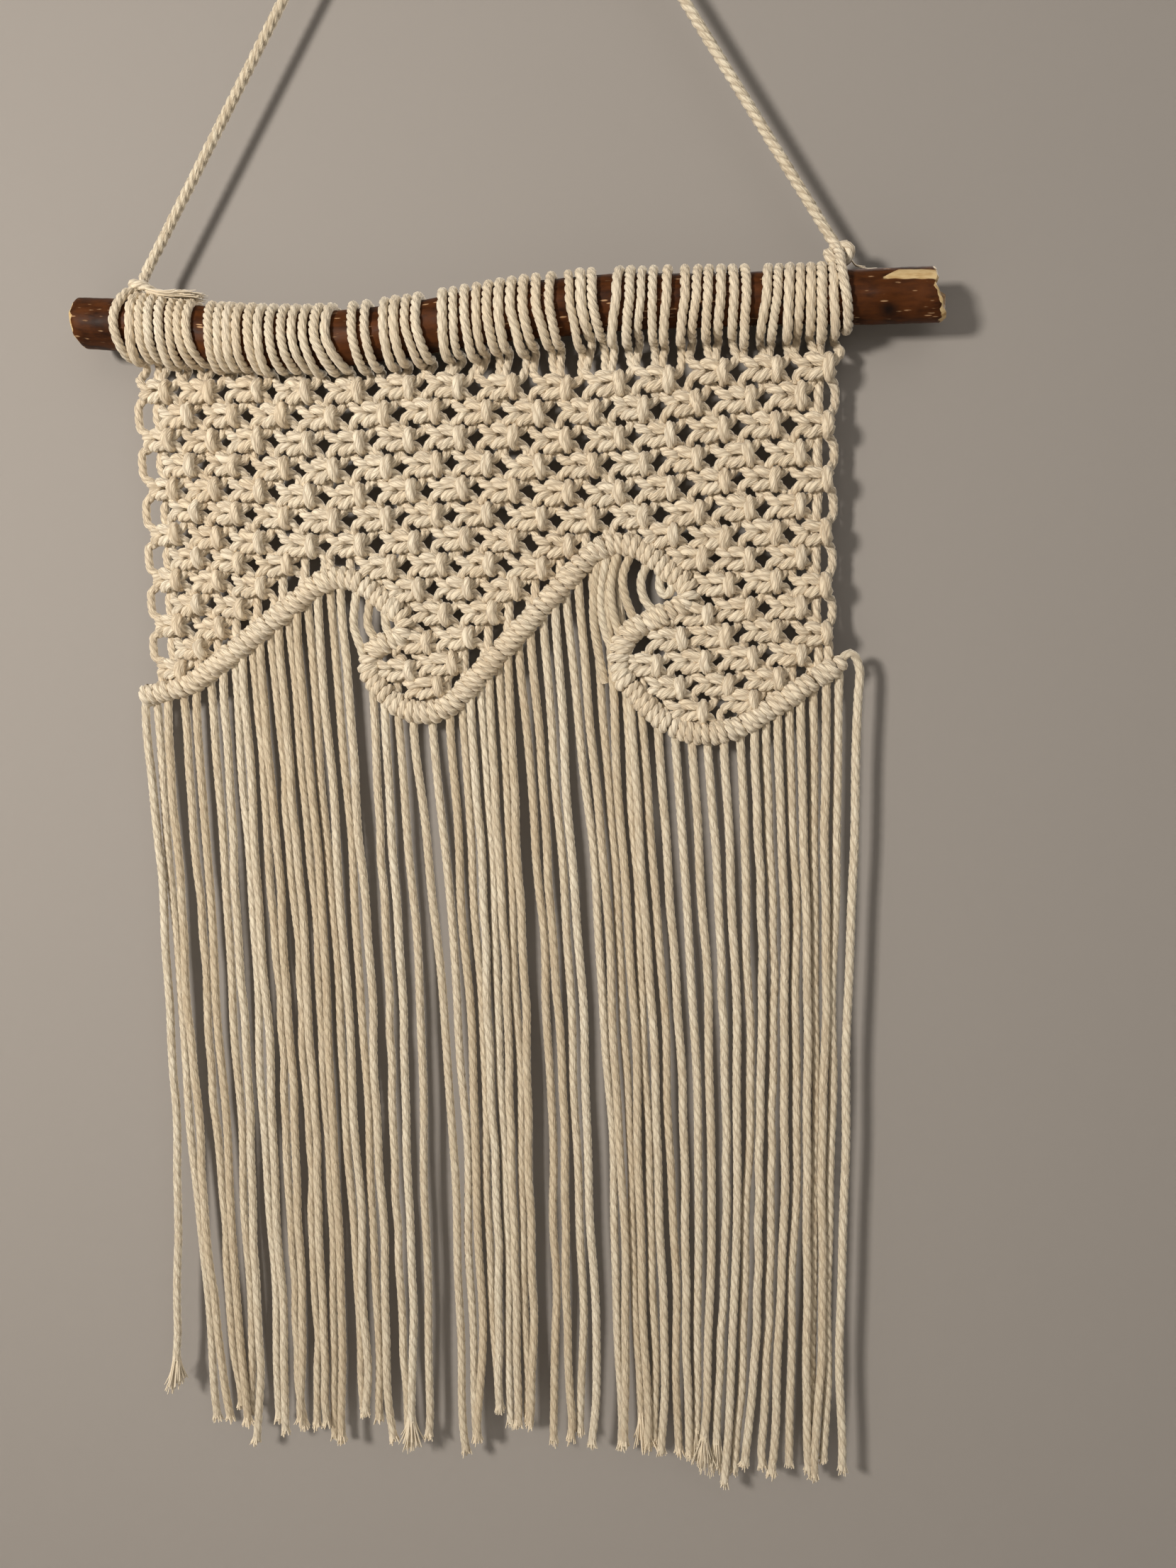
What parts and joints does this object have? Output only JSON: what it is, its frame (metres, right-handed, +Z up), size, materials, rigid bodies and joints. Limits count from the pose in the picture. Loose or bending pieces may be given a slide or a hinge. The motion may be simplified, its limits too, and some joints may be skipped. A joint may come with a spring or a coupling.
{
  "type": "macrame wall hanging on a branch rod",
  "caption": "Cotton cord macrame wall hanging on a natural branch rod: square-knot net, a hitched waving lower border, long straight fringe and a cord hanger.",
  "frame": {"origin": "the middle of the hanger cord where it lies over its nail", "axes": "+Z up, +X along the branch to the right as seen from the front, front towards -Y"},
  "size_m": [0.2825, 0.0236, 0.5866],
  "materials": {
    "natural_cotton": "matte, three-strand twisted cotton cord",
    "brown_bark": "satin natural bark"
  },
  "bodies": {
    "root": {"rod": "brown_bark", "mounting_wraps_1": "natural_cotton", "mounting_wraps_2": "natural_cotton", "mounting_wraps_3": "natural_cotton", "mounting_wraps_4": "natural_cotton", "mounting_wraps_5": "natural_cotton", "mounting_wraps_6": "natural_cotton", "mounting_wraps_7": "natural_cotton", "mounting_wraps_8": "natural_cotton", "mounting_wraps_9": "natural_cotton", "knotted_panel": "natural_cotton", "hitched_bar_fringe": "natural_cotton", "hanger_cord": "natural_cotton", "hanger_knot_left": "natural_cotton", "hanger_knot_right": "natural_cotton", "hanger_tail": "natural_cotton"}
  },
  "joints": []
}
